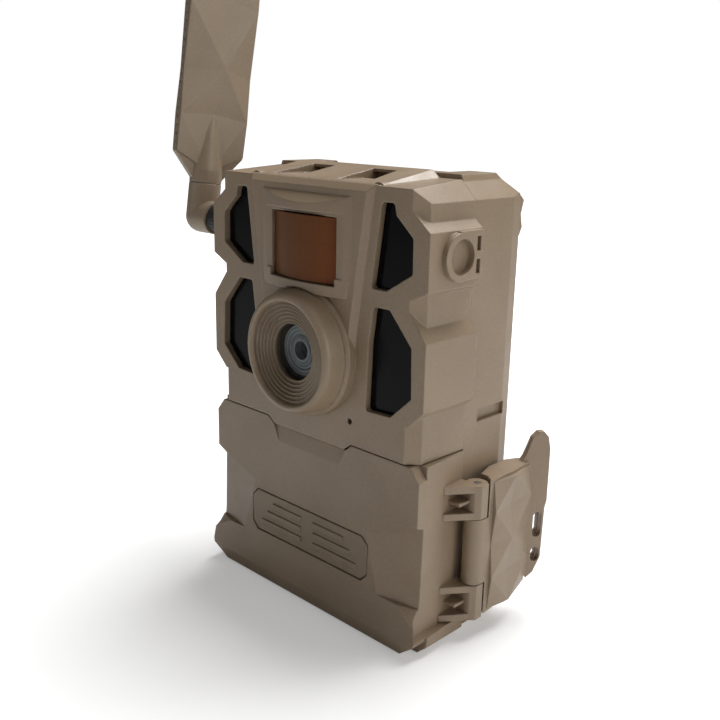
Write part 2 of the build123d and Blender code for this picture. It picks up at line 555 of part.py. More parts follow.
def battery_door():
    form = door_form()
    recess = side_recess()
    form -= recess
    form -= mirror(recess, Plane.YZ)
    # the sunk trapezoid under the step in the seam
    low = DOOR_TOP_Z - SEAM_STEP
    dip = side_prism([(-2, low - 6.0), (0.0, low - 5.4), (0.9, low), (0.9, 70), (-2, 70)], -17.4, 17.4)
    form -= dip & front_prism([(-20.4, DOOR_TOP_Z + 1), (-17.1, low), (-14.6, low - 5.4),
                               (14.6, low - 5.4), (17.1, low), (20.4, DOOR_TOP_Z + 1)], -3, 2)
    form -= block(-60, 60, 1.3, 60, low, 80) & block(-43.6, 43.6, 0, 60, 0, 80)
    form -= front_prism([(-20.1, 70), (-20.1, DOOR_TOP_Z), (-17.2, low), (17.2, low), (20.1, DOOR_TOP_Z),
                         (20.1, 70)], -3, 1.6)
    # sunk panel for the badge, then the inside
    form -= front_prism(BADGE, -3, BADGE_Y + 1.0)
    # hinge knuckles on the left
    for z0, z1 in (HINGE_SPANS[0], HINGE_SPANS[2]):
        arm = plan_prism([(-47.6, 13.0), (-51.2, 20.0), (-52.2, 25.0), (-48.0, 25.2), (-45.9, 23.2),
                          (-45.9, 13.0)], z0, z1)
        form += arm + rod_z(HINGE_X, HINGE_Y, z0, z1, HINGE_R)
        form -= rod_z(HINGE_X, HINGE_Y, z0 - 1, z1 + 1, HINGE_PIN_R + RUNNING)
    form -= block(-43.9, 43.9, 5.6, 60, 2.8, low - 2.0)
    form -= door_seal()
    # two brackets on the right, each two ribs and the knuckle that they carry
    for low_rib, high_rib in ((RIB_ZS[0], RIB_ZS[1]), (RIB_ZS[2], RIB_ZS[3])):
        z0, z1 = low_rib - RIB_THICK / 2, high_rib + RIB_THICK / 2
        for z in (low_rib, high_rib):
            form += plan_prism([(46.2, 12.9), (47.8, 13.1), (53.8, 21.4), (LATCH_X, LATCH_Y), (48.6, 23.0),
                                (45.9, 23.0)], z - RIB_THICK / 2, z + RIB_THICK / 2)
        form += rod_z(LATCH_X, LATCH_Y, z0, z1, LATCH_R)
        form += plan_prism([(52.2, 20.7), (53.6, 21.0), (55.1, 22.6), (55.1, 25.8), (54.2, 26.6), (LATCH_X, 26.6),
                            (LATCH_X, 22.0)], z0, z1)
        form += block(46.0, LATCH_X, 20.8, 21.8, z0, z1)
        middle = (z0 + z1) / 2
        form += block(46.0, LATCH_X, 16.0, 22.0, middle - 0.5, middle + 0.5)
        form -= rod_z(LATCH_X, LATCH_Y, z0 - 1, z1 + 1, LATCH_PIN_R)
    return form


def door_seal():
    """The cord in the door's rear rim."""
    ring = block(-45.6, 45.6, DOOR_REAR_Y - 0.9, DOOR_REAR_Y + 0.2, 1.2, 59.8)
    return ring - block(-44.5, 44.5, 10, 30, 2.1, 58.9)


BADGE_Y = -0.2
BADGE = [(-26.0, 18.6), (26.0, 18.6), (28.6, 21.2), (28.6, 31.6), (26.0, 34.2), (-26.0, 34.2), (-28.6, 31.6),
         (-28.6, 21.2)]


def door_parts():
    save("battery_door", battery_door())
    panel = front_prism(grown(BADGE, -0.35), BADGE_Y, BADGE_Y + 0.98)
    for k in range(3):
        z = 21.6 + 3.7 * k
        for side in (-1, 1):
            x0, x1 = sorted((side * 3.0, side * (23.5 - 3.0 * k)))
            panel += block(x0, x1, BADGE_Y - 0.45, BADGE_Y + 0.2, z, z + 1.9)
    save("badge_panel", panel)
    save("door_gasket", door_seal())
    save("door_hinge_pin", rod_z(HINGE_X, HINGE_Y, HINGE_SPANS[0][0], HINGE_SPANS[2][1], HINGE_PIN_R))
    save("latch_pin", rod_z(LATCH_X, LATCH_Y, RIB_ZS[0] - 1.1, RIB_ZS[3] + 1.1, LATCH_PIN_R))


def latch_lever():
    """The lever: a barrel on the pin, a faceted cover plate, a rear flange and a finger tab."""
    low, high = RIB_ZS[1] + RIB_THICK / 2 + 0.3, RIB_ZS[2] - RIB_THICK / 2 - 0.3
    wrap = plan_prism([(LATCH_X, LATCH_Y - 0.2), (55.1, LATCH_Y), (55.3, 38.0), (53.6, 50.6), (51.6, 49.8),
                       (53.1, 38.0), (53.0, 28.6), (LATCH_X, 27.6)], LATCH_LOW_Z, LATCH_HIGH_Z)
    for z0, z1 in ((0, low), (high, 80)):
        wrap -= block(40, 70, 10, 26.3, z0, z1)
        wrap -= rod_z(LATCH_X, LATCH_Y, z0, z1, 4.15)
    for z0, z1 in ((LATCH_LOW_Z, LATCH_LOW_Z + 4.4), (LATCH_HIGH_Z - 2.0, LATCH_HIGH_Z)):
        wrap += plan_prism([(49.6, 28.8), (54.2, 28.8), (54.2, 38.0), (52.6, 49.0), (49.4, 49.0), (47.4, 44.6),
                            (47.4, 36.0)], z0, z1)
    wrap += rod_z(LATCH_X, LATCH_Y, low, high, LATCH_R)
    wrap -= rod_z(LATCH_X, LATCH_Y, low - 1, high + 1, LATCH_PIN_R + RUNNING)
    # facets: low pyramids on the outer plate
    wrap += latch_facets()
    # flange and tab lie in one plane that turns outwards behind the plate
    flange = side_prism([(0, 15.0), (2.2, 12.0), (4.6, 14.0), (7.0, 19.5), (7.3, 37.4), (7.9, 40.0), (7.8, 58.4),
                         (6.9, 62.6), (5.2, 64.5), (3.4, 64.5), (1.3, 62.6), (0.0, 59.0), (-1.2, 56.2), (-2.6, 54.3),
                         (-2.6, 30.0)], -1.1, 1.1)
    flange = Pos(52.6, 49.3, 0) * Rot(0, 0, -30) * flange
    wrap += flange
    for z, tall in ((31.5, 9.0), (20.6, 5.2)):
        wrap -= padlock_hole(z, tall)
    # the lower edge climbs towards the back
    wrap -= side_prism([(20, 7.6), (28, 8.4), (53, 11.6), (53, -5), (20, -5)], 40, 70)
    save("latch_lever", wrap)


def latch_facets():
    """A shallow relief of flat triangles over the lever's outer face."""
    x0, deep = 55.1, 1.0
    ys = [28.4, 38.0, 50.2]
    zs = [9.4, 20.5, 32.0, 43.5, 53.6]
    relief = [[0.0, 1.1, 0.0, 1.3, 0.0], [1.5, 0.1, 1.6, 0.1, 1.5], [0.0, 1.2, 0.0, 1.3, 0.0]]
    solid = None
    for i in range(2):
        for j in range(4):
            quad = []
            for di, dj in ((0, 0), (1, 0), (1, 1), (0, 1)):
                y, z = ys[i + di], zs[j + dj]
                base = x0 + 0.2 - (1.5 * (i + di) / 2 if i + di == 2 else 0.0)
                quad.append((base, y, z, relief[i + di][j + dj]))
            names = {}
            for n, (bx, y, z, r) in zip("abcd", quad):
                names[n] = (bx - deep, y, z)
                names[n.upper()] = (bx + r, y, z)
            split = ["ABC", "ACD"] if (i + j) % 2 else ["ABD", "BCD"]
            piece = facets(names, split + ["dcba", "abBA", "bcCB", "cdDC", "daAD"])
            solid = piece if solid is None else solid + piece
    return solid


# ------------------------------------------------------------------ antenna
def elbow_frame(shape):
    """Leans a shape drawn with the blade upright back about the connector's axis."""
    return Pos(ELBOW_X, PORT_Y, ELBOW_Z) * Rot(-ANTENNA_LEAN, 0, 0) * shape


def antenna():
    outer_x = ELBOW_X + ELBOW_REACH + 0.25
    collar = rod_x(outer_x, -51.2, PORT_Y, PORT_Z, PORT_R - 0.1)
    collar += rod_x(-52.2, -49.2, PORT_Y, PORT_Z, PORT_R)
    for k in range(24):
        angle = radians(15 * k)
        collar -= rod_x(outer_x + 1.6, -53.0, PORT_Y + PORT_R * cos(angle), PORT_Z + PORT_R * sin(angle),
                        0.28)
    collar -= rod_x(-57, -45, PORT_Y, PORT_Z, 3.15) + rod_x(-70, -56, PORT_Y, PORT_Z, 2.0)
    save("antenna_collar", collar)
    elbow = Cylinder(ELBOW_R, SEAM_ABOVE - 0.1, align=(Align.CENTER, Align.CENTER, Align.MIN))
    elbow += Sphere(ELBOW_R)
    elbow += rod_x(0, ELBOW_REACH, 0, 0, ELBOW_R)
    elbow -= Pos(0, 0, SEAM_ABOVE - 6) * Cylinder(2.55, 20, align=(Align.CENTER, Align.CENTER, Align.MIN))
    elbow -= rod_x(-1, 20, 0, 0, 2.05)
    save("antenna_elbow", elbow_frame(elbow))
    save("antenna_swivel_pin", rod_x(ELBOW_X - 0.5, -57, PORT_Y, PORT_Z, 2.0))
    blade()


def blade():
    low = SEAM_ABOVE + 0.1
    shoulder = low + 8.5
    top = low + BLADE_LENGTH
    half_thick = BLADE_THICK / 2
    rim = [(-5.4, low + 1.2), (5.4, low + 1.2), (BLADE_HALF, shoulder + 1.5), (BLADE_HALF, top - 6),
           (BLADE_HALF - 5, top), (-BLADE_HALF + 5, top), (-BLADE_HALF, top - 6), (-BLADE_HALF, shoulder + 1.5)]
    body = front_prism(rim, -half_thick + 0.9, half_thick - 0.9)
    for face in (-1, 1):
        body += blade_relief(rim, face, half_thick - 0.95, low, top)
    stub = Pos(0, 0, low) * Cylinder(ELBOW_R, 4.6, align=(Align.CENTER, Align.CENTER, Align.MIN))
    stub += Pos(0, 0, low + 4.6) * Cone(ELBOW_R, 1.0, 28, align=(Align.CENTER, Align.CENTER, Align.MIN))
    body += stub
    for side in (-1, 1):
        for k in range(int((top - shoulder - 12) / 3.0)):
            z = shoulder + 5 + 3.0 * k
            body -= Pos(side * BLADE_HALF, 0, z) * Box(0.5, 1.2, 1.0)
    peg = Pos(0, 0, low - 5.6) * Cylinder(2.5, 8, align=(Align.CENTER, Align.CENTER, Align.MIN))
    body += peg
    body -= block(-7.0, 7.0, -0.6, 0.6, low + 34, top - 12)
    save("antenna_blade", elbow_frame(Rot(0, 0, 90 - BLADE_TURN) * body))
    element = block(-6.9, 6.9, -0.5, 0.5, low + 34.1, top - 12.1)
    save("antenna_element", elbow_frame(Rot(0, 0, 90 - BLADE_TURN) * element))


def blade_relief(rim, face, base, low, top):
    """Flat triangles that rise from the blade's rim to a crooked ridge down its middle."""
    ridge_z = [low + 4, low + 24.8, low + 41, low + 66, low + 88, low + 112, top - 6]
    ridge_x = [0.0, 0.4, 2.4, -0.8, 1.6, -1.2, 0.6]
    ridge_h = [1.0, 0.5, 2.5, 0.6, 2.5, 0.5, 1.6]
    edge_z = [low + 10.5, low + 23.5, low + 39, low + 63, low + 85, low + 108, top - 8]
    edge_h = [0.9, 1.7, 0.2, 1.8, 0.3, 1.8, 0.9]
    solid = None
    for side in (-1, 1):
        for k in range(len(ridge_z) - 1):
            edge = BLADE_HALF - 0.05
            points = {"A": (side * edge, edge_z[k], edge_h[k]),
                      "B": (side * edge, edge_z[k + 1], edge_h[k + 1]),
                      "C": (ridge_x[k + 1], ridge_z[k + 1], ridge_h[k + 1]),
                      "D": (ridge_x[k], ridge_z[k], ridge_h[k])}
            names = {}
            for n, (x, z, h) in points.items():
                names[n] = (x, face * (base + h * 0.95), z)
                names[n.lower()] = (x, 0, z)
            split = ["ABC", "ACD"] if k % 2 else ["ABD", "BCD"]
            piece = facets(names, split + ["dcba", "abBA", "bcCB", "cdDC", "daAD"])
            solid = piece if solid is None else solid + piece
    return solid


# ------------------------------------------------------------------ the whole model
save("front_shell", control_openings(front_shell()))
save("rear_shell", rear_shell())
optics()
windows_and_lamps()
motion_sensor()
electronics()
controls()
seals_and_screws()
battery_tray()
door_parts()
latch_lever()
antenna()

os.makedirs("parts", exist_ok=True)
for name, solid in parts.items():
    export_step(solid, f"parts/{name}.step")
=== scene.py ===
import json
import math

import bmesh
import bpy
from mathutils import Matrix, Vector


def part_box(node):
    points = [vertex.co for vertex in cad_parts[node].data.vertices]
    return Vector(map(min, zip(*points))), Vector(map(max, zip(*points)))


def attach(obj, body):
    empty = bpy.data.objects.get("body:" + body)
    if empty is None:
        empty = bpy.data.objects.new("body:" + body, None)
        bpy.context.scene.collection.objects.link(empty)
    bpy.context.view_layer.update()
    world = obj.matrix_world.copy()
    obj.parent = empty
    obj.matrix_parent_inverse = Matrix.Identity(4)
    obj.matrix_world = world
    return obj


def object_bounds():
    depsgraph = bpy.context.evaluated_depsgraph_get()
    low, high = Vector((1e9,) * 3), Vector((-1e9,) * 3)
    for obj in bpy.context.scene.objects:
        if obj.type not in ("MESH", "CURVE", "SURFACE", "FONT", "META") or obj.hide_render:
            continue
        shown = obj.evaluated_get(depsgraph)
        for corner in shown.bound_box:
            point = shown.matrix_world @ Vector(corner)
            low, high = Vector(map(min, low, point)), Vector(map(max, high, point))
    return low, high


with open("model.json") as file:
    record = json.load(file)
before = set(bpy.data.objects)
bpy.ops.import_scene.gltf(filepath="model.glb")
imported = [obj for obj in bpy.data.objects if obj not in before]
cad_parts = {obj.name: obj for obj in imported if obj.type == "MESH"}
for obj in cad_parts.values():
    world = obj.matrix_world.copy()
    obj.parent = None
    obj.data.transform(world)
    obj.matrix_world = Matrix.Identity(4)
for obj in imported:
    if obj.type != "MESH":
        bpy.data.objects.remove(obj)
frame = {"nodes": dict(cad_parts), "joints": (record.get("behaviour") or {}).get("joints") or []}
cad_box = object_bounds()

MM = 0.001
GLASS_IOR = 1.5


# ---------------------------------------------------------------- node helpers
class Surface:
    """One procedural material, with short calls for the nodes that it is built from."""

    def __init__(self, name):
        self.material = bpy.data.materials.new(name)
        self.material.use_nodes = True
        self.tree = self.material.node_tree
        self.tree.nodes.clear()
        self.output = self.tree.nodes.new("ShaderNodeOutputMaterial")
        self.shader = self.tree.nodes.new("ShaderNodeBsdfPrincipled")
        self.tree.links.new(self.shader.outputs["BSDF"], self.output.inputs["Surface"])
        self.coords = self.tree.nodes.new("ShaderNodeTexCoord").outputs["Object"]

    def node(self, kind, **settings):
        made = self.tree.nodes.new(kind)
        for key, value in settings.items():
            setattr(made, key, value)
        return made

    def feed(self, socket, value):
        if isinstance(value, bpy.types.NodeSocket):
            self.tree.links.new(value, socket)
        else:
            socket.default_value = value

    def stretched(self, factors):
        mapping = self.node("ShaderNodeMapping")
        mapping.inputs["Scale"].default_value = factors
        self.feed(mapping.inputs["Vector"], self.coords)
        return mapping.outputs["Vector"]

    def noise(self, size_mm, detail=2.0, stretch=None):
        made = self.node("ShaderNodeTexNoise")
        made.inputs["Scale"].default_value = 1.0 / (size_mm * MM)
        made.inputs["Detail"].default_value = detail
        self.feed(made.inputs["Vector"], self.stretched(stretch) if stretch else self.coords)
        return made.outputs["Fac"]

    def grains(self, size_mm):
        made = self.node("ShaderNodeTexVoronoi", feature="F1")
        made.inputs["Scale"].default_value = 1.0 / (size_mm * MM)
        self.feed(made.inputs["Vector"], self.coords)
        return made.outputs["Distance"]

    def math(self, operation, a, b=0.0, clamp=False):
        made = self.node("ShaderNodeMath", operation=operation, use_clamp=clamp)
        self.feed(made.inputs[0], a)
        self.feed(made.inputs[1], b)
        return made.outputs[0]

    def ranged(self, value, low, high, to_low, to_high):
        made = self.node("ShaderNodeMapRange")
        for place, number in zip((1, 2, 3, 4), (low, high, to_low, to_high)):
            made.inputs[place].default_value = number
        self.feed(made.inputs[0], value)
        return made.outputs[0]

    def mixed(self, share, a, b):
        made = self.node("ShaderNodeMix", data_type="RGBA")
        self.feed(made.inputs[0], share)
        self.feed(made.inputs[6], a)
        self.feed(made.inputs[7], b)
        return made.outputs[2]

    def along(self, axis):
        split = self.node("ShaderNodeSeparateXYZ")
        self.feed(split.inputs[0], self.coords)
        return split.outputs[axis]

    def ribs(self, distance, pitch_mm):
        """1 on a thin line every pitch along a distance, and 0 between."""
        phase = self.math("PINGPONG", distance, pitch_mm * MM / 2)
        return self.ranged(phase, 0.0, 0.13 * pitch_mm * MM, 1.0, 0.0)

    def rounding(self, radius_mm):
        made = self.node("ShaderNodeBevel", samples=4)
        made.inputs["Radius"].default_value = radius_mm * MM
        return made.outputs["Normal"]

    def edges(self, rounded):
        """1 on a sharp edge and 0 on a plain face."""
        dot = self.node("ShaderNodeVectorMath", operation="DOT_PRODUCT")
        self.feed(dot.inputs[0], rounded)
        self.feed(dot.inputs[1], self.node("ShaderNodeNewGeometry").outputs["Normal"])
        return self.ranged(dot.outputs["Value"], 0.995, 0.90, 0.0, 1.0)

    def hollows(self, reach_mm):
        """1 in the open and falling towards 0 in a corner or slot."""
        made = self.node("ShaderNodeAmbientOcclusion", samples=4, only_local=True)
        made.inputs["Distance"].default_value = reach_mm * MM
        return made.outputs["AO"]

    def bump(self, height, depth_mm, strength=1.0, normal=None):
        made = self.node("ShaderNodeBump")
        made.inputs["Strength"].default_value = strength
        made.inputs["Distance"].default_value = depth_mm * MM
        self.feed(made.inputs["Height"], height)
        if normal is not None:
            self.feed(made.inputs["Normal"], normal)
        return made.outputs["Normal"]

    def finish(self, colour, roughness, normal, **constants):
        self.feed(self.shader.inputs["Base Color"], colour)
        self.feed(self.shader.inputs["Roughness"], roughness)
        if normal is not None:
            self.feed(self.shader.inputs["Normal"], normal)
        for key, value in constants.items():
            self.shader.inputs[key.replace("_", " ")].default_value = value
        return self.material


def rgb(red, green, blue):
    """A screen colour, 0 to 255, as the linear colour that the shader takes."""
    def linear(value):
        value /= 255.0
        return value / 12.92 if value <= 0.04045 else ((value + 0.055) / 1.055) ** 2.4
    return (linear(red), linear(green), linear(blue), 1.0)


# ---------------------------------------------------------------- materials
def moulded(name, colour, pale, dark, rough=0.37, grain=0.28, depth=0.03, edge=0.7):
    """Moulded plastic: fine grain, cloudy tone, paler edges that are partly rubbed wear and partly a painted
    highlight, and darker corners that are painted shade. Grain and depth are in mm.
    """
    s = Surface(name)
    rounded = s.rounding(0.7)
    wear_and_edge_highlight = s.math("MULTIPLY", s.edges(rounded), s.ranged(s.noise(5.0, 3.0), 0.35, 0.65, 0.35, 1.0))
    cloud = s.ranged(s.noise(22.0, 4.0), 0.3, 0.7, 0.0, 1.0)
    flecks = s.ranged(s.noise(0.55, 2.0), 0.35, 0.65, 0.0, 1.0)
    tone = s.mixed(s.math("MULTIPLY", cloud, 0.30), colour, dark)
    tone = s.mixed(s.math("MULTIPLY", flecks, 0.16), tone, pale)
    # Painted highlight, partly wear too: sharp edges are mixed towards the pale tone.
    tone = s.mixed(s.math("MULTIPLY", wear_and_edge_highlight, edge), tone, pale)
    # Painted shade: the tone darkens towards the dark colour in corners, slots and recesses.
    shade = s.ranged(s.hollows(5.0), 0.25, 0.85, 0.55, 0.0)
    tone = s.mixed(shade, tone, dark)
    base = s.ranged(s.noise(9.0, 4.0), 0.3, 0.7, rough - 0.06, rough + 0.07)
    shine = s.math("SUBTRACT", base, s.math("MULTIPLY", wear_and_edge_highlight, 0.12))
    height = s.math("ADD", s.noise(grain, 2.0), s.math("MULTIPLY", s.grains(grain * 1.6), 0.6))
    return s.finish(tone, shine, s.bump(height, depth, 0.55, rounded), Specular_IOR_Level=0.6)


def metal(name, colour, dark, rough, stretch=(1.0, 1.0, 14.0)):
    """Turned or plated metal: lines drawn one way, duller patches, and painted shade in hollows."""
    s = Surface(name)
    rounded = s.rounding(0.15)
    lines = s.noise(0.6, 2.0, stretch)
    patches = s.ranged(s.noise(3.5, 4.0), 0.35, 0.7, 0.0, 1.0)
    tone = s.mixed(s.math("MULTIPLY", patches, 0.45), colour, dark)
    # Painted shade: the tone darkens in hollows and corners.
    tone = s.mixed(s.ranged(s.hollows(2.0), 0.2, 0.8, 0.5, 0.0), tone, dark)
    drawn = s.ranged(lines, 0.3, 0.7, rough - 0.07, rough + 0.09)
    shine = s.math("ADD", drawn, s.math("MULTIPLY", patches, 0.10))
    return s.finish(tone, shine, s.bump(lines, 0.01, 0.4, rounded), Metallic=1.0)


def board(name):
    """Solder mask over copper: tracks as small steps on a fine grid, vias as dots."""
    s = Surface(name)
    cells = s.node("ShaderNodeTexVoronoi", distance="MANHATTAN", feature="F1")
    cells.inputs["Scale"].default_value = 1.0 / (2.2 * MM)
    cells.inputs["Randomness"].default_value = 0.6
    s.feed(cells.inputs["Vector"], s.coords)
    tracks = s.ranged(cells.outputs["Distance"], 0.46, 0.52, 0.0, 1.0)
    vias = s.ranged(s.grains(3.1), 0.10, 0.13, 1.0, 0.0)
    tone = s.mixed(tracks, rgb(22, 66, 40), rgb(38, 92, 54))
    tone = s.mixed(vias, tone, rgb(190, 168, 110))
    tone = s.mixed(s.math("MULTIPLY", s.noise(12.0, 3.0), 0.3), tone, rgb(14, 44, 28))
    height = s.math("ADD", tracks, s.math("MULTIPLY", vias, 0.6))
    shine = s.ranged(s.noise(4.0, 3.0), 0.3, 0.7, 0.28, 0.42)
    return s.finish(tone, shine, s.bump(height, 0.03, 0.7), Specular_IOR_Level=0.5)


def dark_window(name):
    """Infrared-pass plastic: nearly black, deep gloss, faint flow haze and hairline marks."""
    s = Surface(name)
    rounded = s.rounding(0.3)
    haze = s.ranged(s.noise(14.0, 3.0), 0.3, 0.7, 0.0, 1.0)
    hairs = s.ranged(s.noise(0.9, 3.0, (1.0, 1.0, 0.08)), 0.62, 0.72, 0.0, 1.0)
    tone = s.mixed(s.math("MULTIPLY", haze, 0.6), rgb(4, 5, 7), rgb(11, 12, 15))
    shine = s.math("ADD", s.ranged(haze, 0.0, 1.0, 0.13, 0.22), s.math("MULTIPLY", hairs, 0.08))
    return s.finish(tone, shine, s.bump(hairs, 0.004, 0.25, rounded), Specular_IOR_Level=0.12)


def sensor_window(name):
    """Brown window over the motion sensor: waxy, with faint rows and columns of lenslets."""
    half_width, foot, top = 14.0 * MM, 113.0 * MM, 133.0 * MM
    s = Surface(name)
    rounded = s.rounding(0.3)
    across = s.ranged(s.along("X"), -half_width, half_width, 0.0, 1.0)
    upward = s.ranged(s.along("Z"), foot, top, 0.0, 1.0)
    columns = s.ribs(s.along("X"), 5.6)
    rows = s.ribs(s.along("Z"), 6.6)
    lenslets = s.math("MAXIMUM", columns, rows)
    tone = s.mixed(s.math("POWER", across, 2.0), rgb(118, 76, 40), rgb(134, 70, 36))
    tone = s.mixed(s.math("MULTIPLY", upward, 0.30), tone, rgb(90, 56, 30))
    tone = s.mixed(s.math("MULTIPLY", s.noise(6.0, 3.0), 0.40), tone, rgb(106, 68, 38))
    tone = s.mixed(s.math("MULTIPLY", lenslets, 0.08), tone, rgb(64, 34, 16))
    shine = s.ranged(s.noise(5.0, 3.0), 0.3, 0.7, 0.30, 0.42)
    height = s.math("SUBTRACT", s.math("MULTIPLY", s.noise(0.5), 0.3), s.math("MULTIPLY", lenslets, 0.2))
    return s.finish(tone, shine, s.bump(height, 0.03, 0.4, rounded), Specular_IOR_Level=0.15)


def lens_rings_painted_reflection(name):
    """Barrel behind the glass, painted grey enough for the rings round the lens axis to show through it: the
    grey stands in for reflected light, and the near-white ring lines are painted glints.
    """
    s = Surface(name)
    low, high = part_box("lens_cover_glass")
    centre = (low + high) / 2
    offset = s.node("ShaderNodeVectorMath", operation="SUBTRACT")
    s.feed(offset.inputs[0], s.coords)
    offset.inputs[1].default_value = (centre.x, 0.0, centre.z)
    flat = s.node("ShaderNodeVectorMath", operation="MULTIPLY")
    s.feed(flat.inputs[0], offset.outputs[0])
    flat.inputs[1].default_value = (1.0, 0.0, 1.0)
    length = s.node("ShaderNodeVectorMath", operation="LENGTH")
    s.feed(length.inputs[0], flat.outputs[0])
    threads_and_painted_glints = s.ribs(length.outputs["Value"], 1.15)
    cloud = s.ranged(s.noise(3.0, 3.0), 0.3, 0.7, 0.0, 1.0)
    # Painted reflection: the black barrel gets a mid grey tone that stands in for light reflected from the
    # surroundings.
    tone = s.mixed(s.math("MULTIPLY", cloud, 0.5), rgb(138, 140, 141), rgb(96, 98, 99))
    # Painted highlight: the ring lines are mixed almost to white as glints.
    tone = s.mixed(s.math("MULTIPLY", threads_and_painted_glints, 0.85), tone, rgb(238, 239, 240))
    shine = s.ranged(cloud, 0.0, 1.0, 0.26, 0.38)
    return s.finish(tone, shine, s.bump(threads_and_painted_glints, 0.08, 0.8, s.rounding(0.1)), Specular_IOR_Level=0.6)


def glass(name, tint, haze=0.0):
    """Clear glass: see-through, with a mirror coat on its front faces and a little dust."""
    s = Surface(name)
    clear = s.node("ShaderNodeBsdfTransparent")
    clear.inputs["Color"].default_value = tint
    fresnel = s.node("ShaderNodeFresnel")
    fresnel.inputs["IOR"].default_value = GLASS_IOR
    dust = s.ranged(s.noise(1.2, 4.0), 0.35, 0.75, 0.02, 0.06 + haze)
    coat = s.mixed(s.noise(6.0, 2.0), rgb(70, 74, 84), rgb(84, 88, 84))
    inside = s.node("ShaderNodeNewGeometry").outputs["Backfacing"]
    mirror = s.math("MULTIPLY", fresnel.outputs[0], s.math("SUBTRACT", 1.0, inside))
    share = s.math("ADD", mirror, dust, clamp=True)
    shine = s.ranged(s.noise(2.5, 3.0), 0.3, 0.7, 0.03, 0.09)
    s.finish(coat, shine, s.bump(s.noise(8.0), 0.01, 0.1), IOR=GLASS_IOR)
    mix = s.node("ShaderNodeMixShader")
    s.feed(mix.inputs[0], share)
    s.feed(mix.inputs[1], clear.outputs[0])
    s.feed(mix.inputs[2], s.shader.outputs[0])
    s.feed(s.output.inputs["Surface"], mix.outputs[0])
    return s.material


def cell_wrap(name):
    """Plain sleeve of a dry cell: slate, with a pale band near the foot and bare metal ends."""
    s = Surface(name)
    # Heights are above the mouth of the tripod socket, each with a fade of 0.1 or 0.2 mm.
    height = s.along("Z")
    band = s.math("MULTIPLY", s.ranged(height, 13.0 * MM, 13.1 * MM, 0.0, 1.0),
                  s.ranged(height, 19.0 * MM, 19.1 * MM, 1.0, 0.0))
    low_end = s.ranged(height, 5.9 * MM, 5.7 * MM, 0.0, 1.0)
    high_end = s.ranged(height, 54.0 * MM, 54.2 * MM, 0.0, 1.0)
    bare = s.math("MAXIMUM", low_end, high_end)
    tone = s.mixed(band, rgb(74, 86, 100), rgb(168, 176, 182))
    tone = s.mixed(s.math("MULTIPLY", s.noise(6.0, 3.0), 0.25), tone, rgb(52, 60, 70))
    tone = s.mixed(bare, tone, rgb(196, 196, 192))
    s.feed(s.shader.inputs["Metallic"], s.ranged(bare, 0.0, 1.0, 0.25, 1.0))
    shine = s.ranged(s.noise(3.0, 3.0), 0.3, 0.7, 0.22, 0.36)
    return s.finish(tone, shine, s.bump(s.noise(1.5, 2.0), 0.01, 0.3, s.rounding(0.2)))


TAN = rgb(157, 136, 112)
TAN_PALE = rgb(186, 170, 149)
TAN_DARK = rgb(124, 105, 84)
MATERIALS = {
    "case_plastic": moulded("case_plastic", TAN, TAN_PALE, TAN_DARK),
    "door_plastic": moulded("door_plastic", rgb(154, 133, 110), TAN_PALE, TAN_DARK),
    "badge_plastic": moulded("badge_plastic", rgb(146, 126, 103), TAN_PALE, rgb(106, 90, 71), rough=0.42),
    "antenna_plastic": moulded("antenna_plastic", rgb(158, 138, 115), rgb(190, 175, 154),
                               rgb(130, 112, 90), rough=0.40),
    "black_plastic": moulded("black_plastic", rgb(34, 34, 35), rgb(66, 66, 66), rgb(16, 16, 17), rough=0.5),
    "seal_rubber": moulded("seal_rubber", rgb(26, 26, 27), rgb(52, 52, 52), rgb(12, 12, 12),
                           rough=0.7, grain=0.5, depth=0.05, edge=0.2),
    "barrel_black": lens_rings_painted_reflection("barrel_black"),
    "chip_black": moulded("chip_black", rgb(30, 31, 33), rgb(70, 70, 72), rgb(14, 14, 15),
                          rough=0.55, grain=0.15, depth=0.015, edge=0.3),
    "window_black": dark_window("window_black"),
    "pir_brown": sensor_window("pir_brown"),
    "lens_glass": glass("lens_glass", (0.92, 0.94, 0.94, 1.0)),
    "lamp_clear": glass("lamp_clear", (0.55, 0.57, 0.60, 1.0), haze=0.35),
    "light_guide": moulded("light_guide", rgb(96, 98, 98), rgb(150, 152, 152), rgb(60, 60, 60),
                           rough=0.3, grain=0.4, depth=0.01),
    "steel": metal("steel", rgb(176, 178, 180), rgb(110, 110, 112), rough=0.30),
    "nickel": metal("nickel", rgb(190, 186, 176), rgb(130, 126, 116), rough=0.26),
    "brass": metal("brass", rgb(196, 164, 96), rgb(128, 98, 50), rough=0.30),
    "gold_plated": metal("gold_plated", rgb(214, 176, 96), rgb(150, 112, 52), rough=0.24),
    "board_green": board("board_green"),
    "cell_wrap": cell_wrap("cell_wrap"),
}
for part in frame["nodes"].values():
    for place in part.material_slots:
        place.link = "OBJECT"
        place.material = MATERIALS[part.data.materials[0].name.split(".")[0]]


# ---------------------------------------------------------------- added pieces
RING_RADIUS, RING_THICKNESS = 5.2 * MM, 0.5 * MM
RING_FLATNESS = 0.19
RING_STEPS_AROUND, RING_STEPS_ABOUT = 96, 12


def link_new(name, data):
    made = bpy.data.objects.new(name, data)
    bpy.context.scene.collection.objects.link(made)
    return made


